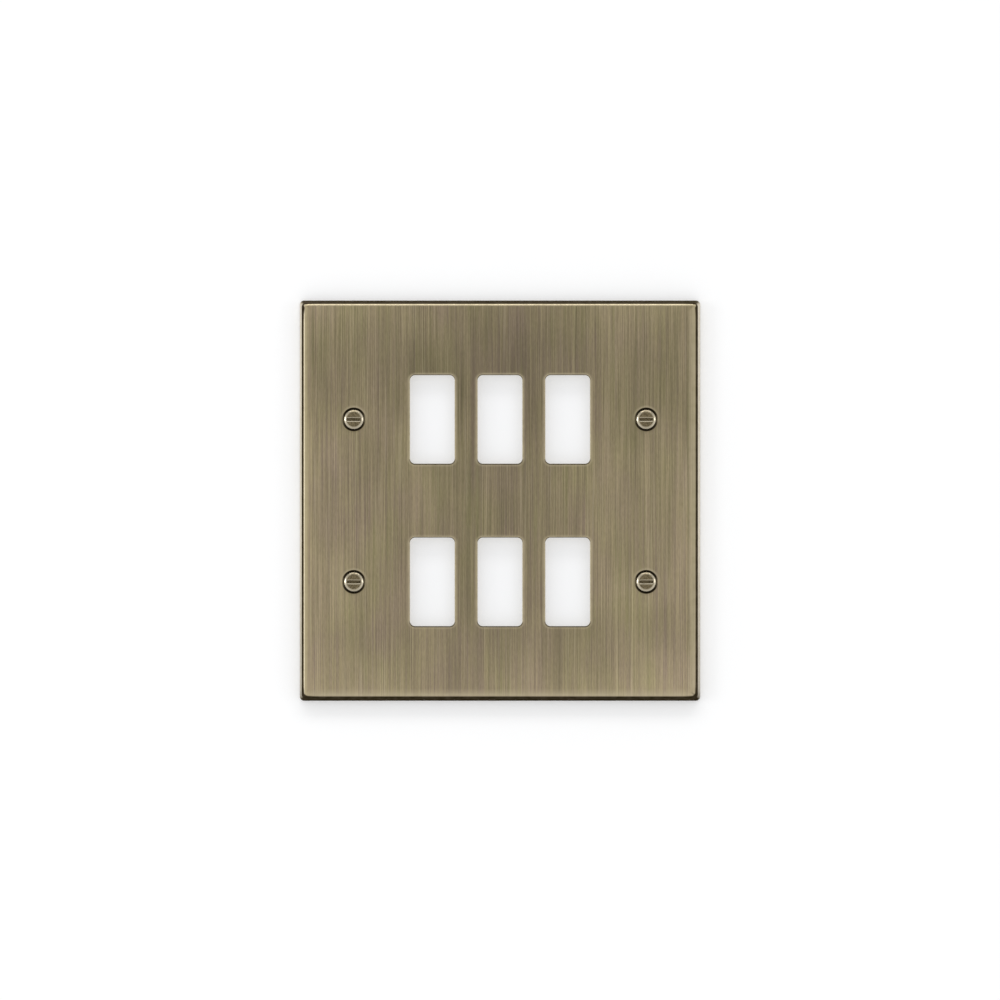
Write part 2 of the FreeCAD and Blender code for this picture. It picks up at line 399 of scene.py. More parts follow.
PLATE_MIDDLE = Vector((0.0, 0.0, 0.0))
LAMPS = (
    Lamp("top_light", (0.0, -0.80, 1.38), 1.7, 0.36, 3.3),
    Lamp("left_light", (-1.38, -0.80, 0.07), 0.34, 0.60, 4.6),
    Lamp("right_light", (1.38, -0.80, 0.07), 0.20, 0.44, 4.0),
    Lamp("back_light", (-0.7, 0.9, 0.7), 0.5, 0.5, 2.0),
)


# Node helpers

def set_inputs(tree, node, inputs):
    """Link or set a node's inputs by name or place."""
    for key, value in inputs.items():
        if isinstance(value, bpy.types.NodeSocket):
            tree.links.new(value, node.inputs[key])
        else:
            node.inputs[key].default_value = value


def add_node(tree, kind, inputs=None, **settings):
    """Add a node with these settings and inputs."""
    node = tree.nodes.new(kind)
    for name, value in settings.items():
        setattr(node, name, value)
    set_inputs(tree, node, inputs or {})
    return node


def worked_out(tree, operation, first, second=0.0, third=0.0, clamp=False):
    """Result of one Math node."""
    inputs = {0: first, 1: second, 2: third}
    return add_node(tree, "ShaderNodeMath", inputs, operation=operation, use_clamp=clamp).outputs[0]


def remapped(tree, value, spread, smooth=False):
    """A value carried from one range to another and kept inside it."""
    kind = "SMOOTHSTEP" if smooth else "LINEAR"
    inputs = {"Value": value, "From Min": spread.low, "From Max": spread.high, "To Min": spread.to_low,
              "To Max": spread.to_high}
    return add_node(tree, "ShaderNodeMapRange", inputs, interpolation_type=kind).outputs[0]


def opaque(value):
    """A colour with its alpha, or the socket that gives one."""
    return value if isinstance(value, bpy.types.NodeSocket) else (*value, 1.0)


def mixed(tree, factor, first, second, blend="MIX"):
    """Two colours mixed by a factor."""
    inputs = {0: factor, 6: opaque(first), 7: opaque(second)}
    return add_node(tree, "ShaderNodeMix", inputs, data_type="RGBA", blend_type=blend).outputs[2]


def shaded(tree, base, shade, factor=1.0):
    """A colour multiplied by a shade or a tint."""
    return mixed(tree, factor, base, shade, blend="MULTIPLY")


def attribute(tree, name):
    """A named attribute of the mesh as a value."""
    return add_node(tree, "ShaderNodeAttribute", attribute_name=name).outputs["Fac"]


def object_coordinates(tree):
    """Object coordinates as a vector."""
    return add_node(tree, "ShaderNodeTexCoord").outputs["Object"]


def object_place(tree):
    """X, Y and Z of the Object coordinates."""
    return add_node(tree, "ShaderNodeSeparateXYZ", {0: object_coordinates(tree)}).outputs


def noise(tree, pattern):
    """Noise on Object coordinates."""
    laid = add_node(tree, "ShaderNodeMapping", {
        "Vector": object_coordinates(tree),
        "Location": (pattern.shift, pattern.shift, pattern.shift),
        "Scale": [1.0 / (size * MM) for size in pattern.sizes],
    })
    inputs = {"Vector": laid.outputs[0], "Scale": 1.0, "Detail": pattern.detail,
              "Roughness": pattern.roughness}
    return add_node(tree, "ShaderNodeTexNoise", inputs, noise_dimensions="3D").outputs["Fac"]


def bumped(tree, height, strength):
    """Normal of a surface that rises and falls with a height."""
    inputs = {"Height": height, "Strength": strength, "Distance": BUMP_DEPTH}
    return add_node(tree, "ShaderNodeBump", inputs).outputs[0]


def seen_directly(tree):
    """1 for the camera, in gloss and through glass, and 0 for light on matt surfaces."""
    path = add_node(tree, "ShaderNodeLightPath").outputs
    clear = worked_out(tree, "MAXIMUM", path["Is Glossy Ray"], path["Is Transmission Ray"])
    return worked_out(tree, "MAXIMUM", path["Is Camera Ray"], clear)


def new_material(name):
    """A new material, its tree and its Principled node."""
    material = bpy.data.materials.new(name)
    material.use_nodes = True
    material.node_tree.nodes.clear()
    shader = add_node(material.node_tree, "ShaderNodeBsdfPrincipled")
    add_node(material.node_tree, "ShaderNodeOutputMaterial", {"Surface": shader.outputs[0]})
    return material, material.node_tree, shader


# Materials

# Lightens and darkens the face's colour by place alone.
def face_brightness(tree):
    """How light the face is: darker along its middle and above the windows, lighter at its lower edge."""
    place = object_place(tree)
    sideways = worked_out(tree, "ABSOLUTE", worked_out(tree, "ADD", place[0], DARK_LEFT))
    middle = remapped(tree, sideways, MIDDLE_SHADE, smooth=True)
    seam = remapped(tree, sideways, SEAM_SHADE, smooth=True)
    rise = worked_out(tree, "SUBTRACT", place[2], DARK_HEIGHT)
    upwards = worked_out(tree, "MULTIPLY", rise, UPWARD_FADE)
    downwards = worked_out(tree, "MULTIPLY", rise, -1.0)
    upper = remapped(tree, worked_out(tree, "MAXIMUM", upwards, downwards), UPPER_SHADE, smooth=True)
    lower = remapped(tree, place[2], LOWER_SHADE)
    shade = middle
    for factor in (seam, upper, lower):
        shade = worked_out(tree, "MULTIPLY", shade, factor)
    return shade


def brushed_face(tree, colours, hair, fine, grit):
    """Colour of the brushed face, before wear: streaks of several widths, scratches, clouds and patches."""
    height = object_place(tree)[2]
    hue = worked_out(tree, "ADD", noise(tree, HUE_STREAKS), noise(tree, HUE_CLOUDS))
    hue = worked_out(tree, "MULTIPLY_ADD", hue, 0.5, remapped(tree, height, LOWER_WARMTH))
    tone = mixed(tree, remapped(tree, hue, HUE_MIX), colours.olive, colours.umber)
    base = mixed(tree, remapped(tree, fine, FINE_MIX), tone, colours.brushed)
    swing = worked_out(tree, "SUBTRACT", hair, NOISE_MIDDLE)
    depth = remapped(tree, height, HAIRLINE_DEPTH)
    base = shaded(tree, base, worked_out(tree, "MULTIPLY_ADD", swing, depth, 1.0))
    base = shaded(tree, base, remapped(tree, grit, GRIT_SHADE))
    base = shaded(tree, base, remapped(tree, noise(tree, BROAD_STREAKS), BROAD_SHADE))
    base = mixed(tree, remapped(tree, noise(tree, SCRATCHES), SCRATCH_MIX), base, colours.rubbed)
    base = shaded(tree, base, remapped(tree, noise(tree, CLOUDS), CLOUD_SHADE))
    patch = mixed(tree, remapped(tree, noise(tree, PATCHES), PATCH_MIX), colours.moss, colours.heather)
    base = shaded(tree, base, patch)
    return shaded(tree, base, face_brightness(tree))


def brushed_brass(colours):
    """Aged brass brushed up and down, bare on its bends and dark where tarnish stays, with painted highlight
    and painted shade laid in through its masks.
    """
    material, tree, shader = new_material("brushed_brass")
    hair = noise(tree, HAIRLINES)
    fine = noise(tree, FINE_STREAKS)
    grit = noise(tree, GRIT)
    wear = noise(tree, EDGE_WEAR)

    # The masks run from 0 to 2: up to 1 they bring in rubbed metal and tarnish. Past 1 the rub mask brings in
    # the painted highlight of the skirt's left and right walls, and the patina mask brings in black painted
    # shade round the screw seats.
    worn_and_light = attribute(tree, "rub")
    rub = worked_out(tree, "MULTIPLY", worn_and_light, remapped(tree, wear, RUB_WEAR), clamp=True)
    bare_and_light = worked_out(tree, "SUBTRACT", worn_and_light, 1.0, clamp=True)
    stain_and_shade = attribute(tree, "patina")
    patina = worked_out(tree, "MINIMUM", stain_and_shade, 1.0)
    black_shade = worked_out(tree, "SUBTRACT", stain_and_shade, 1.0, clamp=True)

    base = mixed(tree, rub, brushed_face(tree, colours, hair, fine, grit), colours.rubbed)
    # Painted highlight tint along the left margin.
    base = shaded(tree, base, colours.left_highlight_tint, remapped(tree, object_place(tree)[0], LEFT_HIGHLIGHT_MARGIN))
    # The painted highlight of the skirt's left and right walls.
    highlight_colour = shaded(tree, colours.side_highlight, remapped(tree, grit, LIT_GRIT))
    base = mixed(tree, worked_out(tree, "MULTIPLY", bare_and_light, remapped(tree, wear, LIT_WEAR)), base, highlight_colour)
    dark = mixed(tree, remapped(tree, wear, PATINA_WEAR), colours.patina, colours.umber)
    base = mixed(tree, patina, base, mixed(tree, black_shade, dark, colours.seat_shade_black))

    streak = worked_out(tree, "MULTIPLY", fine, 1.0 - HAIRLINE_SHARE)
    streak = worked_out(tree, "MULTIPLY_ADD", hair, HAIRLINE_SHARE, streak)
    rough = remapped(tree, streak, BRUSHED_ROUGHNESS)
    for mask, change in ((rub, RUBBED_ROUGHNESS), (patina, TARNISHED_ROUGHNESS), (bare_and_light, LIT_ROUGHNESS)):
        rough = worked_out(tree, "MULTIPLY_ADD", mask, change, rough)
    tangent = add_node(tree, "ShaderNodeTangent", direction_type="UV_MAP", uv_map="grain")
    set_inputs(tree, shader, {
        "Base Color": base,
        "Metallic": worked_out(tree, "SUBTRACT", 1.0, patina),
        "Roughness": rough,
        "Normal": bumped(tree, streak, BRUSHED_BUMP),
        "Tangent": tangent.outputs[0],
        "Anisotropic": BRUSHED_ANISOTROPY,
        "Specular IOR Level": 0.0,
    })
    return material


def unbrushed_brass(colours):
    """Dull rolled brass of the plate's back, mottled and a little stained."""
    material, tree, shader = new_material("unbrushed_brass")
    mottle = noise(tree, MOTTLE)
    marks = noise(tree, ROLLING_MARKS)
    base = mixed(tree, remapped(tree, mottle, MOTTLE_MIX), colours.unbrushed, colours.umber)
    base = shaded(tree, base, remapped(tree, marks, ROLLING_SHADE))
    base = mixed(tree, remapped(tree, noise(tree, STAINS), STAIN_MIX), base, colours.patina)
    set_inputs(tree, shader, {
        "Base Color": base,
        "Metallic": 1.0,
        "Roughness": remapped(tree, mottle, BACK_ROUGHNESS),
        "Normal": bumped(tree, marks, BACK_BUMP),
    })
    return material


def turned_brass(colours):
    """Turned brass of the screws, bright on its rim and dark in the slot."""
    material, tree, shader = new_material("turned_brass")
    scuff = noise(tree, SCUFFS)
    wear = remapped(tree, noise(tree, SCREW_WEAR), POLISH_WEAR)
    rub = worked_out(tree, "MULTIPLY", attribute(tree, "rub"), wear, clamp=True)
    patina = attribute(tree, "patina")
    on_head = remapped(tree, object_place(tree)[1], SCUFF_REACH)
    base = shaded(tree, colours.screw, remapped(tree, scuff, SCUFF_SHADE), on_head)
    base = mixed(tree, rub, base, colours.polish_and_highlight)
    rough = remapped(tree, scuff, SCREW_ROUGHNESS)
    set_inputs(tree, shader, {
        "Base Color": mixed(tree, patina, base, colours.patina),
        "Metallic": worked_out(tree, "SUBTRACT", 1.0, patina),
        "Roughness": worked_out(tree, "MULTIPLY_ADD", patina, SLOT_ROUGHNESS, rough),
        "Normal": bumped(tree, scuff, SCREW_BUMP),
        "Specular IOR Level": 0.0,
    })
    return material


def wall_white(stage, plate):
    """Pale wall that is seen from the room alone, and lets light from behind it reach the plate's back."""
    material, tree, shader = new_material("wall_white")
    place = object_place(tree)
    across = worked_out(tree, "ABSOLUTE", place[0])
    upright = worked_out(tree, "ABSOLUTE", place[2])
    reach = worked_out(tree, "MAXIMUM", across, upright)
    beside = worked_out(tree, "GREATER_THAN", reach, plate.side / 2 - plate.sheet)
    half_view = stage.view_width / 2
    shade = remapped(tree, place[2], Spread(-half_view, half_view, stage.wall_lower, stage.wall_upper))
    set_inputs(tree, shader, {
        "Base Color": mixed(tree, beside, stage.wall_behind, shaded(tree, stage.wall, shade)),
        "Roughness": 1.0,
        "Specular IOR Level": 0.0,
    })
    glow = remapped(tree, beside, Spread(0.0, 1.0, stage.window_glow, stage.glow))
    glow = worked_out(tree, "MULTIPLY", seen_directly(tree), glow)
    shine = add_node(tree, "ShaderNodeEmission", {"Strength": 1.0}).outputs[0]
    white = add_node(tree, "ShaderNodeMixShader", {0: glow, 1: shader.outputs[0], 2: shine}).outputs[0]

    in_view = add_node(tree, "ShaderNodeLightPath").outputs["Is Camera Ray"]
    from_behind = add_node(tree, "ShaderNodeNewGeometry").outputs["Backfacing"]
    from_room = worked_out(tree, "SUBTRACT", 1.0, from_behind)
    solid = worked_out(tree, "MULTIPLY", worked_out(tree, "MAXIMUM", in_view, beside), from_room)
    clear = add_node(tree, "ShaderNodeBsdfTransparent").outputs[0]
    shown = add_node(tree, "ShaderNodeMixShader", {0: solid, 1: clear, 2: white}).outputs[0]
    output = next(node for node in tree.nodes if node.type == "OUTPUT_MATERIAL")
    set_inputs(tree, output, {"Surface": shown})
    return material


# Outlines

def spoke(radius, turn, height):
    """Point at this radius and angle, level at this height."""
    return Vector((radius * math.cos(turn), radius * math.sin(turn), height))


def round_outline(radius, height, turns):
    """Points round a circle, one for each angle in turns."""
    return [spoke(radius, turn, height) for turn in turns]


def rounded_outline(half_width, half_height, corner, height, corner_steps, side_steps):
    """Points round a rounded rectangle, level at this height and closer together near its corners."""
    points = []
    for quarter in range(4):
        start = quarter * QUARTER_TURN
        middle = start + QUARTER_TURN / 2
        centre = Vector((math.copysign(half_width - corner, math.cos(middle)),
                         math.copysign(half_height - corner, math.sin(middle)), height))
        for step in range(corner_steps + 1):
            turn = start + step / corner_steps * QUARTER_TURN
            x = centre.x + corner * math.cos(turn)
            y = centre.y + corner * math.sin(turn)
            points.append(Vector((x, y, height)))
    outline = []
    for place, point in enumerate(points):
        outline.append(point)
        if place % (corner_steps + 1) == corner_steps:
            following = points[(place + 1) % len(points)]
            shares = [(1.0 - math.cos(math.pi * step / side_steps)) / 2 for step in range(1, side_steps)]
            outline += [point.lerp(following, share) for share in shares]
    return outline


def even_turns(count):
    """Angles of evenly spaced points round a circle."""
    return [math.tau * step / count for step in range(count)]


def arc(radius, start, end, steps):
    """(outward, upward) offsets along an arc between two angles in degrees."""
    turns = [math.radians(start + (end - start) * step / steps) for step in range(steps + 1)]
    return [(radius * math.cos(turn), radius * math.sin(turn)) for turn in turns]


def facing(point, half_width, half_height, corner):
    """Which way a rounded rectangle faces at one of its points."""
    sideways = math.copysign(max(0.0, (abs(point.x) - half_width + corner) / corner), point.x)
    upright = math.copysign(max(0.0, (abs(point.y) - half_height + corner) / corner), point.y)
    along = max(0.0, half_width - corner - abs(point.x), half_height - corner - abs(point.y))
    return Facing(
        left=max(0.0, -sideways),
        right=max(0.0, sideways),
        up=max(0.0, upright),
        down=max(0.0, -upright),
        corner=max(0.0, 1.0 - along / CORNER_REACH),
        level=point.y / half_height,
    )


def faced_ring(half_width, half_height, corner, height, steps, rub=None, patina=None, **look):
    """Ring round a rounded rectangle, whose masks are worked out from which way it faces."""
    points = rounded_outline(half_width, half_height, corner, height, **steps)
    sides = [facing(point, half_width, half_height, corner) for point in points]
    masks = {"rub": rub, "patina": patina}
    shown = {name: [mask(side) for side in sides] for name, mask in masks.items() if mask}
    return Ring(points, **shown, **look)


def weighed(amounts, side):
    """Amounts for the four ways, weighed by how far a point faces each of them."""
    return sum(each * share for each, share in zip(amounts, side))


def ramp(value, start, run):
    """0 up to the start, 1 from the end of the run, and straight between them."""
    return min(1.0, max(0.0, (value - start) / run))


# Skirt

def upper_corner(side):
    """1 in the middle of an upper corner's turn, and less towards its ends."""
    return (2.0 * (side.left + side.right) * side.up) ** CORNER_SHARPNESS


def bend_rub(share, side):
    """How bare the bend is: along its crest, and where the worn margin of the face runs into it; its
    side-to-side differences are painted highlight.
    """
    reach = CREST_REACH + weighed(CREST_REACH_SIDES, side) + CREST_REACH_CORNER * upper_corner(side)
    crest = math.sin(math.pi * min(1.0, share / reach)) ** CREST_SHAPE
    return max(crest * (1.0 + weighed(CREST_RUB_AND_HIGHLIGHT, side)), (1.0 - share) * weighed(MARGIN_RUB_AND_HIGHLIGHT, side))


def bend_patina(share, side):
    """How dark the bend is: sooner near corners, most of all the upper left one, but later round a turn."""
    sooner = BEND_ONSET_NEAR_CORNER * (1.0 + side.left * (side.level > 0.0))
    onset = BEND_ONSET + weighed(BEND_ONSET_SIDES, side)
    onset += BEND_ONSET_CORNER * upper_corner(side) - side.corner * sooner
    return ramp(share, onset, BEND_ONSET_RUN)


def wall_patina_and_highlight(share, side):
    """How dark the skirt's wall is: patina, with a painted highlight strip at its left and right that fades
    towards the foot.
    """
    below = side.level < 0.0
    sideways = ramp(side.left + side.right, *(UPPER_TURN if side.level > 0.0 else LOWER_TURN))
    kept = 1.0 - STRIP_FADE * ramp(-side.level, *STRIP_FALL) - STRIP_FADE * side.corner * below
    bare_and_light = ramp(share, weighed(STRIP_START, side), STRIP_RUN) * sideways * kept
    return (1.0 - bare_and_light) * (1.0 - TOP_PALENESS * side.up)


def flared_ring(flare, rim_half, corner, out, height, **look):
    """Ring on or inside a side that flares towards its rim, with corners tighter the further in it lies."""
    return faced_ring(out, out, corner - (rim_half - height * flare - out), height, SKIRT_POINTS, **look)


def skirt_rings(plate):
    """Rings from the flat of the face over the bend, down the skirt, round the rim and up its inside."""
    flare = math.tan(plate.draft)
    lean = math.degrees(plate.draft)
    half = plate.side / 2
    inside_half = half - plate.sheet / math.cos(plate.draft)
    bend_outside = plate.bend + plate.sheet
    setback = bend_outside * math.tan((QUARTER_TURN - plate.draft) / 2)
    bend_half = half - plate.depth * flare - setback
    bend_height = plate.depth - bend_outside
    outside_corner = plate.corner + plate.sheet
    outside = partial(flared_ring, flare, half, outside_corner)
    inside = partial(flared_ring, flare, inside_half, plate.corner, finish=BACK)

    rings = []
    for margin, rub in ((FACE_MARGIN, Sides()), (INNER_MARGIN, INNER_RUB_AND_HIGHLIGHT)):
        out = bend_half - margin
        rings.append(faced_ring(out, out, outside_corner - setback, plate.depth, SKIRT_POINTS,
                                rub=partial(weighed, rub)))
    for step, (out, up) in enumerate(arc(bend_outside, 90.0, lean, BEND_STEPS)):
        share = step / BEND_STEPS
        rings.append(outside(bend_half + out, bend_height + up, rub=partial(bend_rub, share),
                             patina=partial(bend_patina, share)))
    wall_height = bend_height + bend_outside * math.sin(plate.draft)
    wall_highlight = partial(weighed, WALL_SIDE_HIGHLIGHT)
    for share in WALL_SHARES:
        height = wall_height * (1.0 - share)
        rings.append(outside(half - height * flare, height, rub=wall_highlight, patina=partial(wall_patina_and_highlight, share)))
    edge = plate.rim_break
    rings += [
        outside(half - edge * flare, edge, rub=wall_highlight, patina=partial(wall_patina_and_highlight, 1.0), crease=True),
        outside(half - edge, 0.0, finish=BACK, crease=True),
        inside(inside_half + edge, 0.0, crease=True),
        inside(inside_half - edge * flare, edge, crease=True),
    ]
    for out, up in arc(plate.bend, lean, 90.0, INSIDE_BEND_STEPS):
        rings.append(inside(bend_half + out, bend_height + up))
    return rings


# Windows and screw seats

def window_rub_and_highlight(wear, side):
    """How bare a ring round a window is, with a painted highlight added along its top."""
    return wear.rub * (1.0 + wear.lift * side.up - WINDOW_FOOT_COVER * side.down)


def window_shade(wear, side):
    """Painted shade along the top and the bottom of a ring round a window."""
    return wear.upper * math.sqrt(side.up) + wear.lower * math.sqrt(side.down)


def window_rings(plate):
    """Rings of one window's edge, from the worn face round it over its lip to the back of the sheet."""
    def ring(beyond, height, **masks):
        """One ring, this far outside the clear window."""
        return faced_ring(plate.window_width / 2 + beyond, plate.window_height / 2 + beyond,
                          plate.window_corner + beyond, height, WINDOW_POINTS, **masks)

    def rubbed_and_shaded_ring(beyond, height, wear):
        """One ring with this rub and painted light."""
        return ring(beyond, height, rub=partial(window_rub_and_highlight, wear), patina=partial(window_shade, wear))

    rings = [ring(WINDOW_MARGIN, plate.depth)]
    rings += [rubbed_and_shaded_ring(beyond, plate.depth, wear) for beyond, wear in WINDOW_BANDS]
    roll_height = plate.depth - plate.window_roll
    for step, (out, up) in enumerate(arc(plate.window_roll, 90.0, 180.0, WINDOW_ROLL_STEPS)):
        wear = WINDOW_LIP._replace(rub=WINDOW_LIP.rub + WINDOW_LIP_GAIN * step / WINDOW_ROLL_STEPS)
        rings.append(rubbed_and_shaded_ring(plate.window_roll + out, roll_height + up, wear))
    rings.append(ring(0.0, plate.depth - plate.sheet)._replace(patina=WINDOW_BACK_PATINA, crease=True))
    return rings


def seat_rings(plate, turns):
    """Rings of one formed screw seat, from the face down its cone, through its hole and up its outside."""
    # The cone leans at 45 degrees, so it drops as far as it narrows, and measured level the sheet is
    # wider there by the square root of two.
    setback = plate.seat_roll * math.tan(QUARTER_TURN / 4)
    roll_out = plate.seat_mouth + setback
    roll_up = plate.depth - plate.seat_roll
    cone_end = plate.seat_mouth - plate.seat_hole
    hole_end = cone_end + plate.seat_wall
    outside = plate.seat_mouth + plate.sheet * math.sqrt(2.0)
    # Painted shade in the seat, lighter at left and right where side light falls, with a painted highlight
    # above the screw and painted shade below it.
    shades = [SEAT_PATINA_AND_SHADE - SEAT_SIDE_FADE * math.cos(turn) ** SEAT_SIDE_SHARPNESS for turn in turns]
    worn_and_light = [max(0.0, SEAT_RUB + SEAT_HIGHLIGHT_ABOVE * math.sin(turn)) for turn in turns]
    shade_below = [SEAT_SHADE_BELOW * max(0.0, -math.sin(turn)) ** 2 for turn in turns]

    def ring(radius, drop, **look):
        """One ring, this far below the face."""
        return Ring(round_outline(radius, plate.depth - drop, turns), **look)

    rings = [ring(roll_out + SEAT_MARGIN, 0.0)]
    for step, (out, up) in enumerate(arc(plate.seat_roll, 90.0, 135.0, SEAT_ROLL_STEPS)):
        points = round_outline(roll_out + out, roll_up + up, turns)
        dark = [max(dim, shade * step / SEAT_ROLL_STEPS) for dim, shade in zip(shade_below, shades)]
        rings.append(Ring(points, worn_and_light, dark))
    return rings + [
        ring(plate.seat_hole, cone_end, patina=SEAT_PATINA_AND_SHADE, crease=True),
        ring(plate.seat_hole, hole_end, patina=HOLE_PATINA, finish=BACK, crease=True),
        ring(outside - hole_end, hole_end, finish=BACK, crease=True),
        ring(outside - plate.sheet, plate.sheet, finish=BACK),
    ]


# Screws

def slot_outline(half_width, end_radius, height, turns):
    """Points round a slot with ends on a circle, each on the spoke at its angle."""
    points = []
    for turn in turns:
        rise = abs(math.sin(turn))
        radius = end_radius if rise * end_radius <= half_width else half_width / rise
        points.append(spoke(radius, turn, height))
    return points


def slot_turns(half_width, end_radius):
    """Angles round a screw, with points where the slot's lips meet its ends."""
    corner = math.asin(half_width / end_radius)
    turns = [-corner + 2 * corner * step / SLOT_END_POINTS for step in range(SLOT_END_POINTS)]
    side = math.pi - 2 * corner
    turns += [corner + side * step / SLOT_SIDE_POINTS for step in range(SLOT_SIDE_POINTS)]
    return turns + [turn + math.pi for turn in turns]


def head_rings(screw, edge_height, turns):
    """Rings of a raised countersunk head, from the slot's floor to the neck."""
    crown_height = edge_height + screw.land + screw.rise
    slot_end = screw.crown - screw.slot_end
    half_slot = screw.slot / 2
    lip = half_slot + screw.slot_lip
    lips = [UPPER_LIP_RUB if math.sin(turn) > 0.0 else LOWER_LIP_RUB for turn in turns]

    def slot_ring(half_width, end_radius, drop, **look):
        """One ring round the slot, this far below the flat top."""
        return Ring(slot_outline(half_width, end_radius, crown_height - drop, turns), **look)

    rings = [
        slot_ring(half_slot, slot_end, screw.slot_depth, patina=SLOT_FLOOR_PATINA, crease=True),
        slot_ring(half_slot, slot_end, screw.slot_lip, rub=lips, crease=True),
        slot_ring(lip, slot_end, 0.0, rub=lips, crease=True),
        slot_ring(lip + LIP_BAND[0], slot_end + LIP_BAND[1], 0.0, rub=lips),
        slot_ring(lip + LIP_BAND_EDGE[0], slot_end + LIP_BAND_EDGE[1], 0.0),
        Ring(round_outline(screw.crown - CROWN_MARGIN, crown_height, turns)),
    ]
    # More rub at the rim's left and right is painted highlight, and less at its top is painted shade.
    bare_and_light = []
    for turn in turns:
        upper = max(0.0, math.sin(turn)) ** 2
        bare_and_light.append(RIM_RUB + RIM_SIDE_HIGHLIGHT * math.cos(turn) ** 2 - RIM_UPPER_SHADE * upper)
    run = Vector((screw.head - screw.crown, -screw.rise))
    swell = Vector((-run.y, run.x)).normalized() * screw.bulge
    for step in range(RIM_STEPS + 1):
        share = step / RIM_STEPS
        out, up = Vector((screw.crown, crown_height)) + run * share + swell * (4 * share * (1 - share))
        shown = min(1.0, RIM_RUB_START + RIM_RUB_SLOPE * share)
        rings.append(Ring(round_outline(out, up, turns), [shown * worn_and_light for worn_and_light in bare_and_light], crease=step == 0))
    land = round_outline(screw.head, edge_height, turns)
    neck = round_outline(screw.neck, neck_top(screw, edge_height), turns)
    return rings + [
        Ring(land, rub=LAND_RUB, patina=LAND_PATINA, crease=True),
        Ring(neck, patina=NECK_PATINA, crease=True),
    ]


def neck_top(screw, edge_height):
    """Height at which the head's cone ends and the plain neck starts."""
    return edge_height - (screw.head - screw.neck)


def thread_root(screw):
    """Radius at the bottom of the thread."""
    return screw.thread - THREAD_DEPTH * screw.pitch


def threaded(screw, start, end, turns):
    """(radius, height) steps of a right-hand thread, a column for each angle, and the steps in one pitch."""
    root = thread_root(screw)
    section = [
        (0.0, root),
        (FLANK, screw.thread),
        (FLANK + CREST_FLAT, screw.thread),
        (1.0 - ROOT_FLAT, root),
    ]
    pitches = math.ceil((start - end) / screw.pitch) + 1
    columns = []
    for turn in turns:
        climb = (turn % math.tau) / math.tau
        column = []
        for drop in range(pitches + 1):
            for share, radius in section:
                height = start - (drop + share - climb) * screw.pitch
                if height >= start:
                    column.append((screw.neck, start))
                elif height <= end:
                    column.append((screw.thread - screw.tip, end))
                else:
                    runout = screw.neck + start - height
                    chamfer = screw.thread - screw.tip + height - end
                    column.append((min(radius, runout, chamfer), height))
        columns.append(column)
    return columns, len(section)


def add_shank(shape, screw, neck_height, tip_height, turns):
    """Add the plain neck, the thread and the flat tip below a screw's head."""
    columns, steps_in_pitch = threaded(screw, neck_height - screw.neck_length, tip_height, turns)
    rub = shape.verts.layers.float["rub"]
    patina = shape.verts.layers.float["patina"]
    root = thread_root(screw)
    found = {}

    def vertex(place, radius, height):
        """Point on one column, or the one that is already there."""
        key = (place, round(radius / WELD), round(height / WELD))
        if key not in found:
            # Crests get a painted highlight and roots painted shade.
            crest = (radius - root) / (screw.thread - root)
            found[key] = shape.verts.new(spoke(radius, turns[place], height))
            found[key][rub] = THREAD_CREST_HIGHLIGHT * crest
            found[key][patina] = THREAD_ROOT_SHADE * (1.0 - crest)
        return found[key]

    grid = [[vertex(place, *step) for step in column] for place, column in enumerate(columns)]
    for place in range(len(turns)):
        beside = (place + 1) % len(turns)
        shift = steps_in_pitch if beside == 0 else 0
        for row in range(len(grid[0]) - 1):
            here, below = grid[place][row:row + 2]
            across = grid[beside][max(0, row - shift)]
            across_below = grid[beside][max(0, row + 1 - shift)]
            corners = list(dict.fromkeys((here, below, across_below, across)))
            if len(corners) > 2 and shape.faces.get(corners) is None:
                shape.faces.new(corners).smooth = True
            ridge = shape.edges.get((here, across))
            if ridge is not None:
                ridge.smooth = False
    neck = [vertex(place, screw.neck, neck_height) for place in range(len(turns))]
    for place in range(len(turns)):
        beside = (place + 1) % len(turns)
        shape.faces.new((neck[place], grid[place][0], grid[beside][0], neck[beside])).smooth = True
    shape.faces.new([column[-1] for column in grid])


def one_screw(name, screw, edge_height, tip_height):
    """Object with one whole screw on its axis."""
    turns = slot_turns(screw.slot / 2 + screw.slot_lip, screw.crown - screw.slot_end)
    piece = lofted(name, head_rings(screw, edge_height, turns), close_start=True)
    shape = bmesh.new()
    shape.from_mesh(piece.data)
    shank_turns = sorted(turn % math.tau for turn in turns)
    add_shank(shape, screw, neck_top(screw, edge_height), tip_height, shank_turns)
    tidied(shape)
    shape.to_mesh(piece.data)
    shape.free()
    return piece


# Meshes

def at_place(mask, place):
    """Value of a mask that is one number or a list of them."""
    return mask[place] if isinstance(mask, list) else mask


def lofted(name, rings, close_start=False):
    """Object whose surface runs through the rings in turn."""
    shape = bmesh.new()
    rub = shape.verts.layers.float.new("rub")
    patina = shape.verts.layers.float.new("patina")
    finish = shape.faces.layers.int.new("finish")
    lines = []
    for ring in rings:
        line = [shape.verts.new(point) for point in ring.points]
        for place, point in enumerate(line):
            point[rub] = at_place(ring.rub, place)
            point[patina] = at_place(ring.patina, place)
        lines.append(line)
    count = len(lines[0])
    for ring, line, following in zip(rings, lines, lines[1:]):
        for place in range(count):
            beside = (place + 1) % count
            face = shape.faces.new((line[place], line[beside], following[beside], following[place]))
            face.smooth = True
            face[finish] = ring.finish
    if close_start:
        shape.faces.new(lines[0])
    for ring, line in zip(rings, lines):
        for place in range(count):
            edge = shape.edges.get((line[place], line[(place + 1) % count]))
            edge.smooth = not ring.crease
    mesh = bpy.data.meshes.new(name)
    shape.to_mesh(mesh)
    shape.free()
    piece = bpy.data.objects.new(name, mesh)
    bpy.context.scene.collection.objects.link(piece)
    return piece


